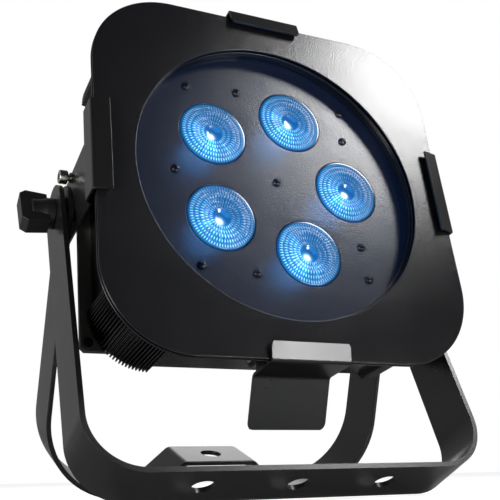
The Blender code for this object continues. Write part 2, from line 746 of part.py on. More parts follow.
def yoke(name, stand, lean, half, reach, bend, hat):
    """U-shaped strap hanging from the pivot axis, in its own leaning frame."""
    hanger = empty(name + "_axis", (0, 0, 0), (-lean, 0, 0), stand)
    mid = half - STRAP_T / 2
    low = -(reach - STRAP_T / 2)
    top = STRAP_W
    corners = [(-mid, top), (-mid, low)]
    radii = [bend - STRAP_T / 2]
    if hat:
        rise = low + HAT_RISE
        corners += [(-HAT_FOOT_HALF, low), (-HAT_TOP_HALF, rise),
                    (HAT_TOP_HALF, rise), (HAT_FOOT_HALF, low)]
        radii += [0.004, 0.004, 0.004, 0.004]
    corners += [(mid, low), (mid, top)]
    radii += [bend - STRAP_T / 2]
    outline = bent_sheet(corners, radii, STRAP_T, 6)
    strap = prism(name, outline, -STRAP_W / 2, STRAP_W / 2, "Y", MATS["grey_coat"], hanger)
    profile = arc(0, 0, STRAP_W / 2, 0, 180, 10)
    profile += [(-STRAP_W / 2, -reach - 0.01), (STRAP_W / 2, -reach - 0.01)]
    keep_inside(strap, prism("tool", profile, -0.12, 0.12, "X", None, hanger))
    drill(strap, HOLE_R, -0.12, 0.12, hanger)
    for x in ([0.0] if hat else [-BAR_HOLE_PITCH, 0.0, BAR_HOLE_PITCH]):
        top = low + (HAT_RISE if hat else 0)
        hole = prism("tool", circle(BAR_HOLE_R, 20, x, 0), top - 0.006, top + 0.006, "Z",
                     None, hanger)
        cut(strap, hole)


# ---------------------------------------------------------------- knobs

def knob(head, name, side):
    """Wing knob with its threaded stud, turning on the pivot axis."""
    axis = empty(name + "_axis", (0, PIVOT_Y, PIVOT_Z), (math.radians(-24), 0, 0), head)
    hub = turned(name, [(0, side * KNOB_BASE), (0.0078, side * KNOB_BASE),
                        (0.0078, side * 0.1040), (0.0066, side * 0.1075),
                        (0.0066, side * 0.1100), (0, side * 0.1100)],
                 "X", MATS["black_plastic"], axis, 20)
    wing = [(-0.0105, 0.1030), (-0.0120, KNOB_TIP - 0.0030), (-0.0095, KNOB_TIP),
            (0.0095, KNOB_TIP), (0.0120, KNOB_TIP - 0.0030), (0.0105, 0.1030)]
    outline = [(side * x, z) for z, x in wing]
    blade = prism("tool", outline, -0.0042, 0.0042, "Y", None, axis)
    join(hub, blade)
    drill(hub, STUD_R + GAP, side * 0.0900, side * 0.1080, axis)
    turned(name.replace("knob", "stud"),
           [(0, side * 0.0800), (STUD_R, side * 0.0800), (STUD_R, side * 0.1076),
            (0, side * 0.1076)], "X", MATS["nickel"], axis, 12)


def pivot_hardware(head, label, side):
    inner = ARM_X - CLIP_SHEET / 2 - GAP
    hexagon = [(PIVOT_Y + u, PIVOT_Z + v) for u, v in circle(0.0058, 6)]
    bore = [(PIVOT_Y + u, PIVOT_Z + v) for u, v in circle(STUD_R + GAP, 12)]
    prism("pivot_nut_" + label, hexagon, side * (inner - 0.0050), side * inner, "X",
          MATS["nickel"], head, [bore])
    low = REAR_HALF + GAP
    high = FRONT_HALF - STRAP_T - GAP
    ring = [(PIVOT_Y + u, PIVOT_Z + v) for u, v in circle(0.0090, 20)]
    prism("yoke_washer_" + label, ring, side * low, side * high, "X",
          MATS["black_plastic"], head, [bore])


# ---------------------------------------------------------------- assembly

def build():
    clear_scene()
    make_materials()
    stand = empty("stand", (0, STAND_Y, PIVOT_HEIGHT))
    tilt = Matrix.Rotation(-FACE_TILT, 3, "X")
    origin = Vector((0, STAND_Y, PIVOT_HEIGHT)) - tilt @ Vector((0, PIVOT_Y, PIVOT_Z))
    head = empty("head", origin, (-FACE_TILT, 0, 0))
    gel_frame(head)
    top_clip(head)
    latch(head)
    latch_mount(head)
    latch_spring(head)
    body(head)
    rear_box(head)
    light_engine(head)
    electronics(head)
    for label, side in (("left", -1), ("right", 1)):
        side_bracket(head, "side_bracket_" + label, side)
        side_bolt(head, "side_bolt_" + label, side)
        knob(head, "knob_" + label, side)
        pivot_hardware(head, label, side)
    yoke("front_yoke", stand, FRONT_LEAN, FRONT_HALF, FRONT_REACH, FRONT_BEND, False)
    yoke("rear_yoke", stand, REAR_LEAN, REAR_HALF, REAR_REACH, REAR_BEND, True)


build()
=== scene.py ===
"""Looks of the par can light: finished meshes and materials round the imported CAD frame.

Head coordinates, as in the CAD: X to the right, Y from the front face to the back,
Z up the face. HEAD carries them to where the lamp stands, so every piece of the lamp
head is written upright and square.
"""

import json
import math

import bmesh
import bpy
from mathutils import Matrix, Vector
from mathutils.geometry import tessellate_polygon


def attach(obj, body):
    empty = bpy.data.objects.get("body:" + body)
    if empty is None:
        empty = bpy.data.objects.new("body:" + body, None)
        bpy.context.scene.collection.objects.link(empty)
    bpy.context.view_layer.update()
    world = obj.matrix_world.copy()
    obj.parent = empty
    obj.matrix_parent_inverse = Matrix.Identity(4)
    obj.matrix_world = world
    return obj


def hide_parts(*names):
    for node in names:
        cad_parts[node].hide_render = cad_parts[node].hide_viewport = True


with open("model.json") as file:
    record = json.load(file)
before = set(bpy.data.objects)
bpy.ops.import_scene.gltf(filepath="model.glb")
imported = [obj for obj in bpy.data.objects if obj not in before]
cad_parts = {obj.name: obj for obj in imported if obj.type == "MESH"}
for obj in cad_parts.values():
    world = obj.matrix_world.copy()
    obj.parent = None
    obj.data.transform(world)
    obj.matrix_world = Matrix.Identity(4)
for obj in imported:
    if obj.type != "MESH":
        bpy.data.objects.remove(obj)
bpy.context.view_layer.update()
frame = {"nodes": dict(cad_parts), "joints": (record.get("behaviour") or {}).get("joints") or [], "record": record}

# ---------------------------------------------------------------- sizes, in metres

GAP = 0.0003
FACE_TILT = math.radians(11.35)
FRONT_LEAN = math.radians(25.5)
REAR_LEAN = math.radians(-17.8)
PIVOT_Y = 0.062
PIVOT_Z = -0.002

FRAME_HALF = 0.095
FRAME_CORNER_R = 0.0424
APERTURE_R = 0.076
FRAME_SHEET = 0.0010
FRAME_DEPTH = 0.0036
FRAME_DROP = 0.0012
FRAME_FOLD = 0.045

CLIP_SHEET = 0.0012
CLIP_HALF = 0.020
CLIP_REACH = 0.0972
CLIP_LIP = 0.0085
LIP_FRONT = -0.0028
LIP_BEND = -0.0010
LIP_CORNER_R = 0.003
TOP_CLIP_DEPTHS = (0.0140, 0.0180, 0.0320)
TOP_RIVET_X = 0.012
TOP_RIVET_Y = 0.0262
BRACKET_DEPTHS = (0.0110, 0.0165, 0.0835)
SIDE_CLIP_HALF = 0.022
CLIP_EDGE = 0.00025

BEZEL_FRONT = 0.0042
BODY_FRONT = 0.0085
BODY_BACK = 0.0510
BODY_FLAT = 0.084
BODY_INNER = 0.0805
BODY_INNER_R = 0.027
BODY_CORNER_R = 0.0267
RIB_CENTRE = 0.0583
RIB_OUTER_R = 0.0287
RIB_DEPTH = 0.0018
RIB_COUNT = 26
WELL_R = 0.0757
VENT_HALF = 0.0140
VENT_DEPTH = 0.0018
ARM_X = 0.09125

PANEL_T = 0.0015
LENS_R = 0.0173
LENS_GAP = 0.0005
SCREW_HOLE_R = 0.0014
LENS_CIRCLE = 0.0402
SCREW_CIRCLE = 0.0540
CORNER_SCREW = (0.0448, 0.0497)

STRAP_W = 0.0295
STRAP_T = 0.0024
FRONT_HALF = 0.0998
REAR_HALF = 0.0955
FRONT_REACH = 0.1475
FRONT_BEND = 0.0268
REAR_BEND = 0.0420
BAR_HOLE_R = 0.0055
BAR_HOLE_PITCH = 0.0457
HAT_TOP_HALF = 0.0200
HAT_FOOT_HALF = 0.0380
HAT_RISE = 0.0170
PIVOT_HOLE_R = 0.0034

KNOB_BASE = 0.1001
KNOB_TIP = 0.1165
KNOB_TURN = math.radians(-24)
KNOB_COLLAR_R = 0.0078
KNOB_STEM_R = 0.0066
WING_HALF_T = 0.0042
SIDE_BOLT = (0.0550, 0.0160)
SIDE_BOLT_HOLE_R = 0.0020

LATCH_PIN_Y = 0.0115
LATCH_PIN_Z = -0.0920
LATCH_PIN_R = 0.0012
LATCH_PIN_HEAD_R = 0.0021
COIL_R = 0.0023
COIL_WIRE_R = 0.00035
COIL_HALF = 0.004
COIL_TURNS = 4
FLAP_BEND_Y = 0.0190
FLAP_LENGTH = 0.0250
FLAP_LEAN = math.radians(28)

# How far the floor is lifted towards white where the camera sees it
FLOOR_LIFT = 0.8

# Painted glow: blue light from the lit lenses, painted into the front panel's emission (the led lamps add real
# blue light as well)
PAINTED_SPILL = (0.0005, 0.003, 0.013, 1)

# Camera in head coordinates, with its lens on a 36 mm sensor
CAMERA_AT = (-0.18448, -0.31017, -0.20807)
CAMERA_RIGHT = (0.90476, -0.41263, -0.10558)
CAMERA_UP = (-0.09063, -0.42871, 0.89888)
CAMERA_LENS = 60.56

joints = {joint["name"]: joint for joint in frame["joints"]}
PIVOT = Vector(joints["front_yoke_hinge"]["pos_m"])
TILT = Matrix.Rotation(-FACE_TILT, 4, "X")
HEAD = Matrix.Translation(PIVOT) @ TILT @ Matrix.Translation((0, -PIVOT_Y, -PIVOT_Z))


# ---------------------------------------------------------------- outlines

def arc(cu, cv, radius, start, end, steps):
    """Points on an arc; angles in degrees."""
    out = []
    for i in range(steps + 1):
        a = math.radians(start + (end - start) * i / steps)
        out.append((cu + radius * math.cos(a), cv + radius * math.sin(a)))
    return out


def circle(radius, steps=48, cu=0.0, cv=0.0):
    return arc(cu, cv, radius, 0, 360, steps)[:-1]


def rounded_rect(hu, hv, radius, steps=8, cu=0.0, cv=0.0):
    out = []
    for su, sv, start in ((1, 1, 0), (-1, 1, 90), (-1, -1, 180), (1, -1, 270)):
        out += arc(cu + su * (hu - radius), cv + sv * (hv - radius),
                   radius, start, start + 90, steps)
    return out


def fillet_path(corners, radii, steps):
    """Centre line with each inner corner rounded; returns points and tangents."""
    path = []
    for i, corner in enumerate(corners):
        here = Vector(corner)
        if i == 0 or i == len(corners) - 1:
            other = Vector(corners[1 if i == 0 else i - 1])
            run = (other - here) if i == 0 else (here - other)
            path.append((here, run.normalized()))
            continue
        into = (here - Vector(corners[i - 1])).normalized()
        out = (Vector(corners[i + 1]) - here).normalized()
        turn = into.angle_signed(out)
        sign = -1 if turn > 0 else 1
        normal = Vector((-into.y, into.x)) * sign
        radius = radii[i - 1]
        centre = here - into * radius * math.tan(abs(turn) / 2) + normal * radius
        for k in range(steps + 1):
            spin = Matrix.Rotation(sign * abs(turn) * k / steps, 2)
            path.append((centre - spin @ (normal * radius), spin @ into))
    return path


def bent_sheet(corners, radii, thickness, steps=12):
    """Outline of a sheet of one thickness bent along a centre line."""
    path = fillet_path(corners, radii, steps)
    half = thickness / 2
    left = [point + Vector((-t.y, t.x)) * half for point, t in path]
    right = [point - Vector((-t.y, t.x)) * half for point, t in path]
    return [tuple(p) for p in left] + [tuple(p) for p in reversed(right)]


# ---------------------------------------------------------------- meshes

def on_axis(u, v, w, axis):
    """Outline point (u, v) at depth w, for a solid that runs along axis."""
    if axis == "X":
        return Vector((w, u, v))
    if axis == "Y":
        return Vector((u, w, v))
    return Vector((u, v, w))


def smooth(mesh, angle=38):
    mesh.shade_smooth()
    mesh.set_sharp_from_angle(angle=math.radians(angle))


def make(name, points, faces):
    mesh = bpy.data.meshes.new(name)
    mesh.from_pydata([tuple(p) for p in points], [], faces)
    bm = bmesh.new()
    bm.from_mesh(mesh)
    bmesh.ops.remove_doubles(bm, verts=bm.verts, dist=1e-7)
    bmesh.ops.recalc_face_normals(bm, faces=bm.faces)
    bm.to_mesh(mesh)
    bm.free()
    smooth(mesh)
    obj = bpy.data.objects.new(name, mesh)
    bpy.context.scene.collection.objects.link(obj)
    return obj


def prism(name, outline, low, high, axis):
    """Solid between two depths, with one face at each end."""
    count = len(outline)
    points = [on_axis(u, v, low, axis) for u, v in outline]
    points += [on_axis(u, v, high, axis) for u, v in outline]
    faces = [tuple(range(count)), tuple(range(2 * count - 1, count - 1, -1))]
    for i in range(count):
        j = (i + 1) % count
        faces.append((i, j, j + count, i + count))
    return make(name, points, faces)


def block(name, low, high):
    outline = [(low[0], low[2]), (high[0], low[2]), (high[0], high[2]), (low[0], high[2])]
    return prism(name, outline, low[1], high[1], "Y")


def turned(name, profile, axis, steps=48, centre=(0, 0, 0)):
    """Turn a profile of (radius, depth) points about an axis."""
    points = []
    rings = []
    for radius, depth in profile:
        ring = []
        for u, v in ([(0.0, 0.0)] if radius == 0 else circle(radius, steps)):
            ring.append(len(points))
            points.append(on_axis(u, v, depth, axis) + Vector(centre))
        rings.append(ring)
    faces = []
    for first, second in zip(rings, rings[1:]):
        for i in range(steps):
            j = (i + 1) % steps
            corners = [first[i % len(first)], first[j % len(first)],
                       second[j % len(second)], second[i % len(second)]]
            faces.append(tuple(dict.fromkeys(corners)))
    return make(name, points, faces)


def plate(name, outer, holes, low, high, edge):
    """Sheet across Y with softened edges; outer and holes turn an inset into an outline."""
    rows = [(edge, low), (edge * 0.3, low + edge * 0.3), (0.0, low + edge),
            (0.0, high - edge), (edge * 0.3, high - edge * 0.3), (edge, high)]
    points = []
    faces = []
    front = []
    back = []
    for loop in [outer] + list(holes):
        rings = []
        for inset, depth in rows:
            outline = loop(inset)
            rings.append([len(points) + i for i in range(len(outline))])
            points += [(u, depth, v) for u, v in outline]
        for first, second in zip(rings, rings[1:]):
            for i in range(len(first)):
                j = (i + 1) % len(first)
                faces.append((first[i], first[j], second[j], second[i]))
        front.append(rings[0])
        back.append(rings[-1])
    for loops in (front, back):
        flat = [[Vector((points[i][0], points[i][2], 0)) for i in ring] for ring in loops]
        index = [i for ring in loops for i in ring]
        for corners in tessellate_polygon(flat):
            faces.append(tuple(index[i] for i in corners))
    return make(name, points, faces)


def bake(obj):
    """Replace a mesh by what its modifiers make of it."""
    bpy.context.view_layer.update()
    graph = bpy.context.evaluated_depsgraph_get()
    mesh = bpy.data.meshes.new_from_object(obj.evaluated_get(graph))
    obj.modifiers.clear()
    obj.data = mesh


def combine(obj, tool, operation="DIFFERENCE"):
    modifier = obj.modifiers.new("combine", "BOOLEAN")
    modifier.operation = operation
    modifier.solver = "EXACT"
    modifier.object = tool
    bake(obj)
    bpy.data.objects.remove(tool)


def even_normals(obj):
    """Smooth the rounded edges and let the flats keep their own normals."""
    smooth(obj.data, 50)
    obj.modifiers.new("weighted", "WEIGHTED_NORMAL").keep_sharp = True
    bake(obj)


def soften(obj, width, segments=3, angle=32):
    """Round the sharp edges."""
    bevel = obj.modifiers.new("bevel", "BEVEL")
    bevel.width = width
    bevel.segments = segments
    bevel.limit_method = "ANGLE"
    bevel.angle_limit = math.radians(angle)
    bake(obj)
    even_normals(obj)


def copy_of(node, name, width):
    """A CAD node's solid with its sharp edges rounded."""
    mesh = frame["nodes"][node].data.copy()
    bm = bmesh.new()
    bm.from_mesh(mesh)
    bmesh.ops.remove_doubles(bm, verts=bm.verts, dist=1e-6)
    bmesh.ops.dissolve_limit(bm, angle_limit=math.radians(1), verts=bm.verts, edges=bm.edges)
    bm.to_mesh(mesh)
    bm.free()
    obj = bpy.data.objects.new(name, mesh)
    bpy.context.scene.collection.objects.link(obj)
    soften(obj, width)
    return obj


def finish_piece(obj, node, slot, body="head", where=None, material=None):
    """Put a finished piece where its CAD node is and let it stand for that node."""
    obj.data.transform(where if where is not None else HEAD)
    obj.data.materials.clear()
    obj.data.materials.append(material or MATS[slot])
    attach(obj, body)
    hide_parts(node)


# ---------------------------------------------------------------- materials

MATS = {}


def surface(name, colour, roughness, metallic=0.0, grain=0.00003, scale=1400,
            spread=0.06, mottle=0.15, coat=0.0):
    """Principled material with a fine grain, a slow change of gloss and a faint mottle."""
    mat = bpy.data.materials.new(name)
    mat.use_nodes = True
    nodes = mat.node_tree.nodes
    links = mat.node_tree.links
    shader = nodes["Principled BSDF"]
    shader.inputs["Metallic"].default_value = metallic
    shader.inputs["Coat Weight"].default_value = coat
    shader.inputs["Coat Roughness"].default_value = 0.15
    where = nodes.new("ShaderNodeTexCoord")
    fine = nodes.new("ShaderNodeTexNoise")
    fine.inputs["Scale"].default_value = scale
    fine.inputs["Detail"].default_value = 4.0
    slow = nodes.new("ShaderNodeTexNoise")
    slow.inputs["Scale"].default_value = 45.0
    slow.inputs["Detail"].default_value = 3.0
    for texture in (fine, slow):
        links.new(where.outputs["Object"], texture.inputs["Vector"])
    bump = nodes.new("ShaderNodeBump")
    bump.inputs["Strength"].default_value = 1.0
    bump.inputs["Distance"].default_value = grain
    links.new(fine.outputs["Fac"], bump.inputs["Height"])
    links.new(bump.outputs["Normal"], shader.inputs["Normal"])
    gloss = nodes.new("ShaderNodeMapRange")
    gloss.inputs["To Min"].default_value = roughness - spread
    gloss.inputs["To Max"].default_value = roughness + spread
    links.new(slow.outputs["Fac"], gloss.inputs["Value"])
    links.new(gloss.outputs["Result"], shader.inputs["Roughness"])
    tint = nodes.new("ShaderNodeMix")
    tint.data_type = "RGBA"
    tint.inputs["A"].default_value = (*[c * (1 - mottle) for c in colour], 1)
    tint.inputs["B"].default_value = (*[c * (1 + mottle) for c in colour], 1)
    links.new(fine.outputs["Fac"], tint.inputs["Factor"])
    links.new(tint.outputs["Result"], shader.inputs["Base Color"])
    return mat


def lens_material():
    """Moulded clear plastic lit from behind; the mesh carries the glow."""
    mat = surface("lens_lit", (0.006, 0.06, 0.12), 0.14, grain=0.00001, scale=2600,
                  spread=0.04, coat=0.3)
    nodes = mat.node_tree.nodes
    shader = nodes["Principled BSDF"]
    baked = nodes.new("ShaderNodeAttribute")
    baked.attribute_name = "glow"
    mat.node_tree.links.new(baked.outputs["Color"], shader.inputs["Emission Color"])
    shader.inputs["Emission Strength"].default_value = 1.0
    return mat


def paper_material():
    """Pale floor that looks evenly lit without lighting the lamp from below."""
    mat = surface("floor", (0.55, 0.55, 0.54), 0.6, scale=300)
    nodes = mat.node_tree.nodes
    links = mat.node_tree.links
    shader = nodes["Principled BSDF"]
    shader.inputs["Emission Color"].default_value = (1, 1, 1, 1)
    path = nodes.new("ShaderNodeLightPath")
    lift = nodes.new("ShaderNodeMapRange")
    lift.inputs["To Max"].default_value = FLOOR_LIFT
    links.new(path.outputs["Is Camera Ray"], lift.inputs["Value"])
    links.new(lift.outputs["Result"], shader.inputs["Emission Strength"])
    return mat


def make_materials():
    MATS["black_coat"] = surface("black_coat", (0.006, 0.006, 0.007), 0.20,
                                 grain=0.00010, scale=1300, spread=0.03)
    MATS["panel_coat_painted_glow"] = surface("panel_coat_painted_glow", (0.007, 0.008, 0.011), 0.22,
                                 grain=0.00010, scale=1300, spread=0.03)
    # Painted glow: the panel coat emits a faint blue, standing in for light spilled on it by the lit lenses
    shader = MATS["panel_coat_painted_glow"].node_tree.nodes["Principled BSDF"]
    shader.inputs["Emission Color"].default_value = PAINTED_SPILL
    shader.inputs["Emission Strength"].default_value = 1.0
    MATS["grey_coat"] = surface("grey_coat", (0.007, 0.007, 0.007), 0.29,
                                grain=0.00003, scale=1500, spread=0.04)
    # Painted light: a lighter copy of the grey coat for the middle plate, standing in for the bounce light from
    # below that reaches it under the head
    MATS["grey_coat_painted_lit"] = surface("grey_coat_painted_lit", (0.090, 0.090, 0.080), 0.40,
                                 grain=0.00003, scale=1500, spread=0.04)
    MATS["nickel"] = surface("nickel", (0.62, 0.60, 0.55), 0.22, metallic=1.0,
                             grain=0.00001, scale=2200)
    MATS["black_plastic"] = surface("black_plastic", (0.010, 0.010, 0.011), 0.38,
                                    grain=0.00003, scale=1800)
    MATS["screw"] = surface("screw", (0.012, 0.012, 0.014), 0.20, metallic=0.3,
                            grain=0.00001, scale=2500)
    MATS["aluminium"] = surface("aluminium", (0.55, 0.56, 0.58), 0.42, metallic=1.0)
    MATS["board"] = surface("board", (0.02, 0.12, 0.05), 0.45)
    MATS["window"] = surface("window", (0.030, 0.003, 0.003), 0.08, grain=0.000004,
                             spread=0.02, coat=1.0)
    MATS["lens"] = lens_material()


# ---------------------------------------------------------------- colour frame and clips

def gel_frame():
    def outer(inset):
        half = FRAME_HALF - inset
        return rounded_rect(half, half, FRAME_CORNER_R - inset, 24, 0, -FRAME_DROP)

    def hole(inset):
        return circle(APERTURE_R + inset, 144, 0, -FRAME_DROP)

    edge = 0.00028
    front = plate("gel_frame_sheets", outer, [hole], 0, FRAME_SHEET, edge)
    back = plate("tool", outer, [hole], FRAME_DEPTH - FRAME_SHEET, FRAME_DEPTH, edge)
    top = FRAME_HALF - FRAME_DROP
    inset = FRAME_SHEET / 2
    fold = block("tool", (-FRAME_FOLD, inset, top - FRAME_SHEET),
                 (FRAME_FOLD, FRAME_DEPTH - inset, top))
    combine(front, back, "UNION")
    combine(front, fold, "UNION")
    even_normals(front)
    finish_piece(front, "gel_frame", "black_coat")


def lip_path(reach):
    """Section of a clip, as (across the edge, depth): its lip, up to the bend."""
    return [(reach - CLIP_LIP, LIP_FRONT), (reach, LIP_BEND)]


def top_clip():
    """Clip fixed to the top of the body with two rivets."""
    back = BODY_FLAT + GAP + CLIP_SHEET / 2
    turn, step, tail = TOP_CLIP_DEPTHS
    corners = lip_path(CLIP_REACH) + [(CLIP_REACH, turn), (back, step), (back, tail)]
    section = bent_sheet(corners, [0.0012, 0.0015, 0.0015], CLIP_SHEET, 8)
    clip = prism("clip_top_sheet", [(y, z) for z, y in section], -CLIP_HALF, CLIP_HALF, "X")
    front = rounded_rect(CLIP_HALF, 0.010, LIP_CORNER_R, 8, 0,
                         CLIP_REACH - CLIP_LIP + 0.0095)
    window = prism("tool", front, -0.01, 0.0005, "Y")
    combine(window, block("tool", (-0.03, 0.0002, 0.07), (0.03, 0.04, 0.11)), "UNION")
    combine(clip, window, "INTERSECT")
    for x in (-TOP_RIVET_X, TOP_RIVET_X):
        head = turned("tool", [(0, back - 0.002), (0.0030, back - 0.002),
                               (0.0030, back + 0.0010), (0.0022, back + 0.0017),
                               (0, back + 0.0020)], "Z", 32, (x, TOP_RIVET_Y, 0))
        combine(clip, head, "UNION")
    soften(clip, CLIP_EDGE)
    finish_piece(clip, "clip_top", "grey_coat")


def side_bracket(label, side):
    """Clip for one edge of the frame, with an arm back to the yoke pivot."""
    reach = CLIP_REACH - CLIP_SHEET / 2
    turn, step, tail = BRACKET_DEPTHS
    corners = lip_path(reach) + [(reach, turn), (ARM_X, step), (ARM_X, tail)]
    section = bent_sheet(corners, [0.0014, 0.0020, 0.0020], CLIP_SHEET, 8)
    bracket = prism("side_bracket_sheet_" + label, [(side * x, y) for x, y in section],
                    -0.030, 0.030, "Z")
    low = -SIDE_CLIP_HALF
    high = SIDE_CLIP_HALF + 0.004
    profile = ([(-0.006, low), (0.0135, low), (0.020, -0.016)]
               + arc(0.070, -0.006, 0.0100, -90, 0, 12)
               + arc(0.0715, 0.0095, 0.0085, 0, 90, 12)
               + [(0.020, 0.022), (0.0135, high), (-0.006, high)])
    inner = side * 0.080
    outer = side * 0.105
    combine(bracket, prism("tool", profile, inner, outer, "X"), "INTERSECT")
    for radius, (y, z) in ((PIVOT_HOLE_R, (PIVOT_Y, PIVOT_Z)), (SIDE_BOLT_HOLE_R, SIDE_BOLT)):
        profile = [(0, inner), (radius, inner), (radius, outer), (0, outer)]
        combine(bracket, turned("tool", profile, "X", 32, (0, y, z)))
    soften(bracket, CLIP_EDGE)
    finish_piece(bracket, "side_bracket_" + label, "grey_coat")


def side_bolt(label, side):
    """Cap screw with a hexagon socket, a washer and a nut behind the arm."""
    face = ARM_X + CLIP_SHEET / 2 + GAP
    profile = [(0, -0.0046), (0.0017, -0.0046), (0.0017, -0.0043), (0.0030, -0.0043),
               (0.0032, -0.0041), (0.0032, -0.0018), (0.0017, -0.0018), (0.0017, 0),
               (0.0026, 0), (0.0028, 0.0002), (0.0028, 0.0008), (0.0026, 0.0010),
               (0.0018, 0.0012), (0.0018, 0.0022), (0.0033, 0.0022), (0.0036, 0.0025),
               (0.0036, 0.0059), (0.0033, 0.0063), (0.0030, 0.0064), (0, 0.0064)]
    profile = [(radius, side * (face + depth)) for radius, depth in profile]
    bolt = turned("side_bolt_cap_" + label, profile, "X", 40, (0, *SIDE_BOLT))
    socket = [(SIDE_BOLT[0] + u, SIDE_BOLT[1] + v) for u, v in circle(0.0018, 6)]
    depth = (side * (face + 0.0040), side * (face + 0.0080))
    combine(bolt, prism("tool", socket, min(depth), max(depth), "X"))
    smooth(bolt.data)
    finish_piece(bolt, "side_bolt_" + label, "nickel")


def latch():
    """Hinged clip under the frame: lip in front, ears on the pin, finger flap below."""
    flap_y = FLAP_LENGTH * math.sin(FLAP_LEAN)
    flap_z = FLAP_LENGTH * math.cos(FLAP_LEAN)
    corners = lip_path(CLIP_REACH) + [(CLIP_REACH, FLAP_BEND_Y),
                                      (CLIP_REACH + flap_z, FLAP_BEND_Y + flap_y)]
    section = bent_sheet(corners, [0.0012, 0.0030], CLIP_SHEET, 12)
    clip = prism("latch_flap", [(y, -z) for z, y in section], -CLIP_HALF, CLIP_HALF, "X")
    high = -CLIP_REACH + CLIP_LIP + 0.001
    low = -CLIP_REACH - flap_z - 0.0004
    outline = rounded_rect(CLIP_HALF, (high - low) / 2, 0.0035, 10, 0, (high + low) / 2)
    combine(clip, prism("tool", outline, -0.03, 0.05, "Y"), "INTERSECT")
    ear_x = CLIP_HALF - CLIP_SHEET - 0.0004
    for side in (-1, 1):
        outline = [(LATCH_PIN_Y - 0.0052, -CLIP_REACH), (LATCH_PIN_Y + 0.0052, -CLIP_REACH)]
        outline += arc(LATCH_PIN_Y, LATCH_PIN_Z, 0.0032, 0, 180, 20)
        ends = (side * ear_x, side * (ear_x + CLIP_SHEET))
        combine(clip, prism("tool", outline, min(ends), max(ends), "X"), "UNION")
    bore = turned("tool", [(0, -0.03), (LATCH_PIN_R + GAP, -0.03),
                           (LATCH_PIN_R + GAP, 0.03), (0, 0.03)], "X", 24,
                  (0, LATCH_PIN_Y, LATCH_PIN_Z))
    combine(clip, bore)
    soften(clip, CLIP_EDGE)
    finish_piece(clip, "latch_clip", "grey_coat", "latch")


def latch_parts():
    """Pin with domed ends, and the torsion spring coiled on it."""
    half = [(0, 0.0255), (0.0013, 0.0254), (LATCH_PIN_HEAD_R, 0.0248),
            (LATCH_PIN_HEAD_R, 0.0243), (LATCH_PIN_R, 0.0243)]
    profile = [(radius, -depth) for radius, depth in half] + half[::-1]
    pin = turned("latch_pin_rivet", profile, "X", 24, (0, LATCH_PIN_Y, LATCH_PIN_Z))
    finish_piece(pin, "latch_pin", "nickel")
    per_turn = 24
    steps = COIL_TURNS * per_turn
    points = [(-COIL_HALF + 2 * COIL_HALF * i / steps,
               COIL_R * math.cos(2 * math.pi * i / per_turn),
               COIL_R * math.sin(2 * math.pi * i / per_turn)) for i in range(steps + 1)]
    points.append((0.0042, COIL_R, 0.0040))
    curve = bpy.data.curves.new("latch_coil", "CURVE")
    curve.dimensions = "3D"
    curve.bevel_depth = COIL_WIRE_R
    curve.bevel_resolution = 3
    curve.use_fill_caps = True
    spline = curve.splines.new("POLY")
    spline.points.add(len(points) - 1)
    for target, point in zip(spline.points, points):
        target.co = (point[0], point[1] + LATCH_PIN_Y, point[2] + LATCH_PIN_Z, 1.0)
    holder = bpy.data.objects.new("tool", curve)
    bpy.context.scene.collection.objects.link(holder)
    bpy.context.view_layer.update()
    graph = bpy.context.evaluated_depsgraph_get()
    mesh = bpy.data.meshes.new_from_object(holder.evaluated_get(graph))
    bpy.data.objects.remove(holder)
    coil = bpy.data.objects.new("latch_coil", mesh)
    bpy.context.scene.collection.objects.link(coil)
    smooth(mesh)
    finish_piece(coil, "latch_spring", "nickel")


# ---------------------------------------------------------------- body

def ribbed_outline():
    """Square ring outline whose four rounded corners are cut into rounded ribs."""
    points = []
    pitch = 90 / RIB_COUNT
    wave = ((0.08, 0.25), (0.18, 0.85), (0.30, 1.0), (0.50, 1.0), (0.62, 0.85),
            (0.72, 0.25), (0.80, 0.0), (0.98, 0.0))
    for su, sv, start in ((1, 1, 0), (-1, 1, 90), (-1, -1, 180), (1, -1, 270)):
        for k in range(RIB_COUNT):
            for offset, height in wave:
                radius = RIB_OUTER_R - RIB_DEPTH * (1 - height)
                a = math.radians(start + (k + offset) * pitch)
                points.append((su * RIB_CENTRE + radius * math.cos(a),
                               sv * RIB_CENTRE + radius * math.sin(a)))
        run = math.radians(start + 90)
        along = (-math.sin(run), math.cos(run))
        out = (math.cos(run), math.sin(run))
        depth = BODY_FLAT - RIB_CENTRE
        for step in (0.0012, 2 * RIB_CENTRE - 0.0012):
            points.append((su * RIB_CENTRE + along[0] * step + out[0] * depth,
                           sv * RIB_CENTRE + along[1] * step + out[1] * depth))
    return points


def body():
    """Ribbed ring, and the bezel in front of it with a vent slot in each side."""
    ring = prism("housing_ribs", ribbed_outline(), BODY_FRONT, BODY_BACK, "Y")
    inner = rounded_rect(BODY_INNER, BODY_INNER, BODY_INNER_R, 12)
    combine(ring, prism("tool", inner, 0, 0.1, "Y"))
    smooth(ring.data, 30)
    finish_piece(ring, "housing", "black_coat")

    def outer(inset):
        half = BODY_FLAT - inset
        return rounded_rect(half, half, BODY_CORNER_R - inset, 20)

    def well(inset):
        return circle(WELL_R + inset, 144)

    bezel = plate("front_bezel_ring", outer, [well], BEZEL_FRONT, BODY_FRONT - GAP, 0.0003)
    for turn in range(4):
        slot = block("tool", (0.0700, BODY_FRONT - VENT_DEPTH, -VENT_HALF),
                     (0.0900, BODY_FRONT + 0.0010, VENT_HALF))
        slot.data.transform(Matrix.Rotation(turn * math.pi / 2, 4, "Y"))
        combine(bezel, slot)
    even_normals(bezel)
    finish_piece(bezel, "front_bezel", "black_coat")


def lens_places():
    return [arc(0, 0, LENS_CIRCLE, 72 * k, 72 * k, 1)[0] for k in range(5)]


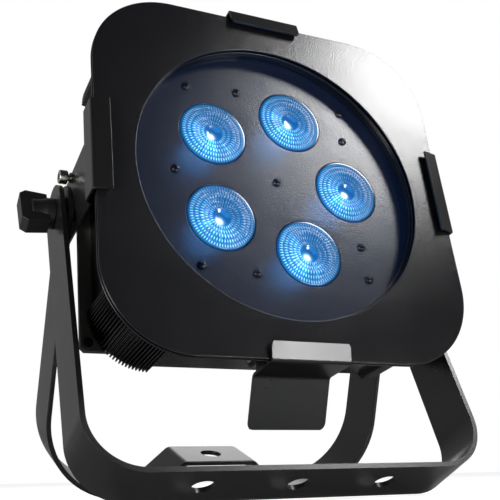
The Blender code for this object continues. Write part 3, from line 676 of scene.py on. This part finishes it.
def screw_places():
    places = [(0.0, 0.0)]
    for angle in (36, 108, 180, 252, 324):
        places.append(arc(0, 0, SCREW_CIRCLE, angle, angle, 1)[0])
    for su, sv in ((1, 1), (-1, 1), (-1, -1), (1, -1)):
        places.append((su * CORNER_SCREW[0], sv * CORNER_SCREW[1]))
    return places


def panel():
    def outer(inset):
        half = BODY_INNER - GAP - inset
        return rounded_rect(half, half, BODY_CORNER_R - inset, 12)

    def hole_at(radius, x, z, steps):
        return lambda inset: circle(radius + inset, steps, x, z)

    holes = [hole_at(LENS_R + LENS_GAP, x, z, 72) for x, z in lens_places()]
    holes += [hole_at(SCREW_HOLE_R, x, z, 16) for x, z in screw_places()]
    sheet = plate("led_panel_sheet", outer, holes, BODY_FRONT, BODY_FRONT + PANEL_T, 0.0003)
    even_normals(sheet)
    # The panel takes the coat with the painted blue glow
    finish_piece(sheet, "led_panel", "black_coat", material=MATS["panel_coat_painted_glow"])


def panel_screws():
    """Pan heads with a cross recess."""
    front = BODY_FRONT - GAP
    profile = [(0, front - 0.0012), (0.0008, front - 0.00115), (0.0016, front - 0.0009),
               (0.0021, front - 0.0004), (0.0022, front), (0.0010, front),
               (0.0010, 0.0127), (0, 0.0127)]
    pattern = turned("tool", profile, "Y", 32)
    for u, v in ((0.0011, 0.00028), (0.00028, 0.0011)):
        combine(pattern, block("tool", (-u, front - 0.003, -v), (u, front - 0.0004, v)))
    smooth(pattern.data)
    for index, (x, z) in enumerate(screw_places()):
        screw = bpy.data.objects.new(f"panel_screw_head_{index + 1}", pattern.data.copy())
        bpy.context.scene.collection.objects.link(screw)
        turn = Matrix.Rotation(math.radians(37 * index), 4, "Y")
        screw.data.transform(Matrix.Translation((x, 0, z)) @ turn)
        finish_piece(screw, f"panel_screw_{index + 1}", "screw")
    bpy.data.objects.remove(pattern)


# Rings of moulded lenslets on a lens: inner radius, outer radius and how many
LENS_RINGS = ((0.0046, 0.0068, 30), (0.0070, 0.0092, 40), (0.0094, 0.0118, 45),
              (0.0121, 0.0142, 60), (0.0146, 0.0166, 72))
LENS_STEPS = 720
LENSLET_HEIGHT = 0.0006
LENS_FACE = ((0.0, 0.0092), (0.0020, 0.0091), (0.0055, 0.0081), (0.0110, 0.0074),
             (0.0150, 0.0078), (LENS_R, 0.0082))
LENS_RIM = ((LENS_R, 0.0112), (0.0148, 0.0128), (0.0070, 0.0214), (0.0042, 0.0214))
LENS_APEX = 0.0190
LENS_SPINS = (-8, 6, 14, 4, -10)

# Red, green and blue light of a lens: its body, its lenslets, its hot spot and its unseen rim
BODY_LIGHT = (0.006, 0.150, 0.560)
SPARKLE_LIGHT = (0.17, 0.62, 0.78)
SPOT_LIGHT = (2.4, 3.4, 3.8)
RIM_LIGHT = (0.01, 0.05, 0.2, 1.0)
SPOT_AT = (-0.0012, -0.0022)
SPOT_R = 0.0015


def lens_depth(radius):
    """Depth of the lens face below its lenslets."""
    for (r0, d0), (r1, d1) in zip(LENS_FACE, LENS_FACE[1:]):
        if radius <= r1:
            t = (radius - r0) / (r1 - r0)
            return d0 + (d1 - d0) * t * t * (3 - 2 * t)
    return LENS_FACE[-1][1]


def lenslet(radius, angle):
    """How far up a lenslet a point is, from 0 between them to 1 on a crown."""
    for inner, outer, count in LENS_RINGS:
        if inner <= radius <= outer:
            across = math.sin(math.pi * (radius - inner) / (outer - inner))
            round_it = math.cos(count * angle / 2) ** 2
            return math.sqrt(max(across, 0)) * round_it
    return 0.0


def glow(radius, angle, spin):
    """Light that leaves a point of the lens: blue body, cyan crowns, one hot spot."""
    share = radius / LENS_R
    crown = lenslet(radius, angle)
    low_side = 0.5 - 0.5 * math.cos(angle - math.radians(48 + spin))
    ray = 0.5 + 0.5 * math.cos(17 * angle + 9 * math.sin(3 * angle + spin))
    streak = math.exp(-((share - 0.50) / 0.28) ** 2) * low_side ** 3 * ray ** 2
    body_glow = 0.21 + 0.36 * low_side + 1.9 * streak
    sparkle = crown ** 3 * (0.42 + 1.8 * low_side ** 2 + 3.5 * streak)
    x = radius * math.cos(angle) - SPOT_AT[0]
    z = radius * math.sin(angle) - SPOT_AT[1]
    spot = math.exp(-(x * x + z * z) / SPOT_R ** 2)
    if share > 0.965:
        body_glow *= 0.25
    mix = [a * body_glow + b * sparkle + c * spot
           for a, b, c in zip(BODY_LIGHT, SPARKLE_LIGHT, SPOT_LIGHT)]
    return (*mix, 1.0)


def lenses():
    """Five moulded lenses, each one closed mesh that carries its own glow."""
    radii = [0.0, 0.0010, 0.0020, 0.0030, 0.0040, 0.0045]
    for inner, outer, _ in LENS_RINGS:
        radii += [inner + (outer - inner) * k / 6 for k in range(7)]
    radii += [0.0169, LENS_R]
    for index, (cx, cz) in enumerate(lens_places()):
        points = [(cx, lens_depth(0), cz)]
        colours = [glow(0, 0, 0)]
        spin = LENS_SPINS[index]
        for radius in radii[1:]:
            for i in range(LENS_STEPS):
                a = 2 * math.pi * i / LENS_STEPS
                rise = LENSLET_HEIGHT * lenslet(radius, a)
                points.append((cx + radius * math.cos(a), lens_depth(radius) - rise,
                               cz + radius * math.sin(a)))
                colours.append(glow(radius, a, spin))
        for radius, depth in LENS_RIM:
            for i in range(LENS_STEPS):
                a = 2 * math.pi * i / LENS_STEPS
                points.append((cx + radius * math.cos(a), depth, cz + radius * math.sin(a)))
                colours.append(RIM_LIGHT)
        points.append((cx, LENS_APEX, cz))
        colours.append(RIM_LIGHT)
        faces = [(0, 1 + i, 1 + (i + 1) % LENS_STEPS) for i in range(LENS_STEPS)]
        rings = len(radii) - 1 + len(LENS_RIM)
        for ring in range(rings - 1):
            start = 1 + ring * LENS_STEPS
            for i in range(LENS_STEPS):
                j = (i + 1) % LENS_STEPS
                faces.append((start + i, start + j, start + LENS_STEPS + j,
                              start + LENS_STEPS + i))
        start = 1 + (rings - 1) * LENS_STEPS
        last = len(points) - 1
        for i in range(LENS_STEPS):
            faces.append((start + i, start + (i + 1) % LENS_STEPS, last))
        mesh = bpy.data.meshes.new("lens")
        mesh.from_pydata(points, [], faces)
        layer = mesh.color_attributes.new("glow", "FLOAT_COLOR", "POINT")
        layer.data.foreach_set("color", [c for colour in colours for c in colour])
        smooth(mesh, 60)
        lens = bpy.data.objects.new(f"lens_moulding_{index + 1}", mesh)
        bpy.context.scene.collection.objects.link(lens)
        finish_piece(lens, f"lens_{index + 1}", "lens")


# ---------------------------------------------------------------- yokes

def yoke(name, lean, half, reach, bend, hat):
    """U-shaped strap with rounded pivot ends, in its own leaning frame."""
    where = Matrix.Translation(PIVOT) @ Matrix.Rotation(-lean, 4, "X")
    mid = half - STRAP_T / 2
    low = -(reach - STRAP_T / 2)
    corners = [(-mid, STRAP_W), (-mid, low)]
    radii = [bend - STRAP_T / 2]
    if hat:
        rise = low + HAT_RISE
        corners += [(-HAT_FOOT_HALF, low), (-HAT_TOP_HALF, rise),
                    (HAT_TOP_HALF, rise), (HAT_FOOT_HALF, low)]
        radii += [0.004, 0.004, 0.004, 0.004]
    corners += [(mid, low), (mid, STRAP_W)]
    radii += [bend - STRAP_T / 2]
    outline = bent_sheet(corners, radii, STRAP_T, 24)
    strap = prism(name + "_strap", outline, -STRAP_W / 2, STRAP_W / 2, "Y")
    profile = arc(0, 0, STRAP_W / 2, 0, 180, 40)
    profile += [(-STRAP_W / 2 - 0.001, -0.001), (-STRAP_W / 2 - 0.001, -reach - 0.01),
                (STRAP_W / 2 + 0.001, -reach - 0.01), (STRAP_W / 2 + 0.001, -0.001)]
    combine(strap, prism("tool", profile, -0.12, 0.12, "X"), "INTERSECT")
    combine(strap, turned("tool", [(0, -0.12), (PIVOT_HOLE_R, -0.12),
                                   (PIVOT_HOLE_R, 0.12), (0, 0.12)], "X", 32))
    for x in ([0.0] if hat else [-BAR_HOLE_PITCH, 0.0, BAR_HOLE_PITCH]):
        level = low + (HAT_RISE if hat else 0)
        hole = circle(BAR_HOLE_R, 48, x, 0)
        combine(strap, prism("tool", hole, level - 0.006, level + 0.006, "Z"))
    soften(strap, 0.00045)
    finish_piece(strap, name, "grey_coat", name, where)


def yokes():
    height = FRONT_REACH * math.cos(FRONT_LEAN) + STRAP_W / 2 * math.sin(FRONT_LEAN)
    rear_reach = (height - STRAP_W / 2 * math.sin(-REAR_LEAN)) / math.cos(REAR_LEAN)
    yoke("front_yoke", FRONT_LEAN, FRONT_HALF, FRONT_REACH, FRONT_BEND, False)
    yoke("rear_yoke", REAR_LEAN, REAR_HALF, rear_reach, REAR_BEND, True)


# ---------------------------------------------------------------- knobs

def knob(label, side):
    """Wing knob: a collar, a stem and a thick wing with rounded ends."""
    where = HEAD @ Matrix.Translation((0, PIVOT_Y, PIVOT_Z))
    where = where @ Matrix.Rotation(KNOB_TURN, 4, "X")
    profile = [(0, KNOB_BASE), (KNOB_COLLAR_R, KNOB_BASE), (KNOB_COLLAR_R, 0.1035),
               (0.0074, 0.1045), (KNOB_STEM_R, 0.1075), (KNOB_STEM_R, 0.1110), (0, 0.1110)]
    hub = turned(f"knob_grip_{label}", [(r, side * x) for r, x in profile], "X", 48)
    wing = [(-0.0105, 0.1030), (-0.0120, KNOB_TIP - 0.0030), (-0.0095, KNOB_TIP),
            (0.0095, KNOB_TIP), (0.0120, KNOB_TIP - 0.0030), (0.0105, 0.1030)]
    blade = prism("tool", [(side * x, z) for z, x in wing],
                  -WING_HALF_T, WING_HALF_T, "Y")
    combine(hub, blade, "UNION")
    bore = [(0, side * 0.09), (0.0033, side * 0.09), (0.0033, side * 0.108),
            (0, side * 0.108)]
    combine(hub, turned("tool", bore, "X", 24))
    soften(hub, 0.0007, 4)
    finish_piece(hub, "knob_" + label, "black_plastic", "knob_" + label, where)


# ---------------------------------------------------------------- carried-over nodes

def carried_over():
    """Rounded copies of the sheet-metal and moulded nodes whose shape is right."""
    rounded = {"rear_box": ("grey_coat", 0.0004), "mid_plate": ("grey_coat", 0.0002),
               "latch_mount": ("grey_coat", 0.0002),
               "power_inlet": ("black_plastic", 0.00035),
               "power_outlet": ("black_plastic", 0.0003),
               "dmx_in_socket": ("black_plastic", 0.00035),
               "dmx_out_socket": ("black_plastic", 0.0003),
               "display_window": ("window", 0.0002)}
    for node, (slot, width) in rounded.items():
        copy = copy_of(node, node + "_shell", width)
        # The middle plate takes the lighter coat: painted light in place of the bounce light it gets from below
        coat = MATS["grey_coat_painted_lit"] if node == "mid_plate" else None
        finish_piece(copy, node, slot, where=Matrix.Identity(4), material=coat)
    moving = {"fuse_cap": 0.0004}
    moving.update({f"menu_button_{k}": 0.0004 for k in range(1, 5)})
    for node, width in moving.items():
        copy = copy_of(node, node + "_cap", width)
        finish_piece(copy, node, "black_plastic", node, Matrix.Identity(4))
    slots = {row["node"]: row["material_slot"] for row in frame["record"]["subparts"]}
    for name, node in frame["nodes"].items():
        node.data.materials.clear()
        node.data.materials.append(MATS[slots[name]])


# ---------------------------------------------------------------- studio

# Soft round lights: name, place, aim, diameter in metres and power in watts
LIGHTS = (
    ("key", (0.67, -0.52, 0.93), (0.06, -0.02, 0.18), 0.34, 7.8),
    ("left", (-0.75, 0.25, 0.45), (0, 0, 0.12), 0.5, 0.35),
    ("lip", (0.49, -0.94, 0.19), (0, -0.07, 0.06), 0.18, 4.5),
    ("back_top", (0.37, 0.84, 0.53), (0, 0.03, 0.02), 0.5, 1.2),
    ("right", (0.95, -0.15, 0.30), (-0.05, -0.03, 0.15), 0.25, 1.0),
    ("low_left", (-0.50, -0.25, 0.03), (-0.08, 0, 0.08), 0.25, 3.2),
)
LED_POWER = 0.020
LED_COLOUR = (0.05, 0.35, 1.0)
LED_Y = -0.012
FLOOR_HALF = 3.0
FLOOR_Z = -0.0004
AMBIENT = (0.02, 0.30)


def area_light(name, at, aim, size, power):
    data = bpy.data.lights.new(name, "AREA")
    data.shape = "DISK"
    data.size = size
    data.energy = power
    light = bpy.data.objects.new(name, data)
    bpy.context.scene.collection.objects.link(light)
    light.location = at
    light.rotation_euler = (Vector(at) - Vector(aim)).to_track_quat("Z", "Y").to_euler()
    light.visible_camera = False


def studio():
    """White surroundings that light the lamp only from behind, a pale floor and lights."""
    bpy.context.scene.view_settings.view_transform = "Standard"
    world = bpy.data.worlds.new("studio")
    bpy.context.scene.world = world
    world.use_nodes = True
    nodes = world.node_tree.nodes
    links = world.node_tree.links
    where = nodes.new("ShaderNodeTexCoord")
    split = nodes.new("ShaderNodeSeparateXYZ")
    links.new(where.outputs["Generated"], split.inputs["Vector"])
    ramp = nodes.new("ShaderNodeMapRange")
    ramp.inputs["From Min"].default_value = 0.0
    ramp.inputs["From Max"].default_value = 0.7
    ramp.inputs["To Min"].default_value = AMBIENT[0]
    ramp.inputs["To Max"].default_value = AMBIENT[1]
    links.new(split.outputs["Y"], ramp.inputs["Value"])
    path = nodes.new("ShaderNodeLightPath")
    strength = nodes.new("ShaderNodeMix")
    links.new(path.outputs["Is Camera Ray"], strength.inputs["Factor"])
    links.new(ramp.outputs["Result"], strength.inputs["A"])
    strength.inputs["B"].default_value = 1.0
    links.new(strength.outputs["Result"], nodes["Background"].inputs["Strength"])
    nodes["Background"].inputs["Color"].default_value = (1, 1, 1, 1)

    corners = [(x * FLOOR_HALF, y * FLOOR_HALF, FLOOR_Z)
               for x, y in ((-1, -1), (1, -1), (1, 1), (-1, 1))]
    floor = make("floor", corners, [(0, 1, 2, 3)])
    floor.data.materials.append(paper_material())

    for row in LIGHTS:
        area_light(*row)
    for index, (x, z) in enumerate(lens_places()):
        data = bpy.data.lights.new(f"led_{index + 1}", "POINT")
        data.energy = LED_POWER
        data.color = LED_COLOUR
        data.shadow_soft_size = 0.010
        light = bpy.data.objects.new(f"led_{index + 1}", data)
        bpy.context.scene.collection.objects.link(light)
        light.location = HEAD @ Vector((x, LED_Y, z))
        light.visible_camera = False


def camera():
    """Camera at the viewing angle, fixed to the lamp head's coordinates."""
    right = Vector(CAMERA_RIGHT)
    up = Vector(CAMERA_UP)
    back = right.cross(up)
    axes = Matrix((right, up, back)).transposed().to_4x4()
    data = bpy.data.cameras.new("camera")
    data.lens = CAMERA_LENS
    data.sensor_width = 36.0
    data.clip_start = 0.01
    cam = bpy.data.objects.new("camera", data)
    bpy.context.scene.collection.objects.link(cam)
    cam.matrix_world = HEAD @ Matrix.Translation(CAMERA_AT) @ axes
    bpy.context.scene.camera = cam


make_materials()
camera()
studio()
gel_frame()
top_clip()
latch()
latch_parts()
body()
panel()
panel_screws()
lenses()
for label, side in (("left", -1), ("right", 1)):
    side_bracket(label, side)
    side_bolt(label, side)
    knob(label, side)
yokes()
carried_over()
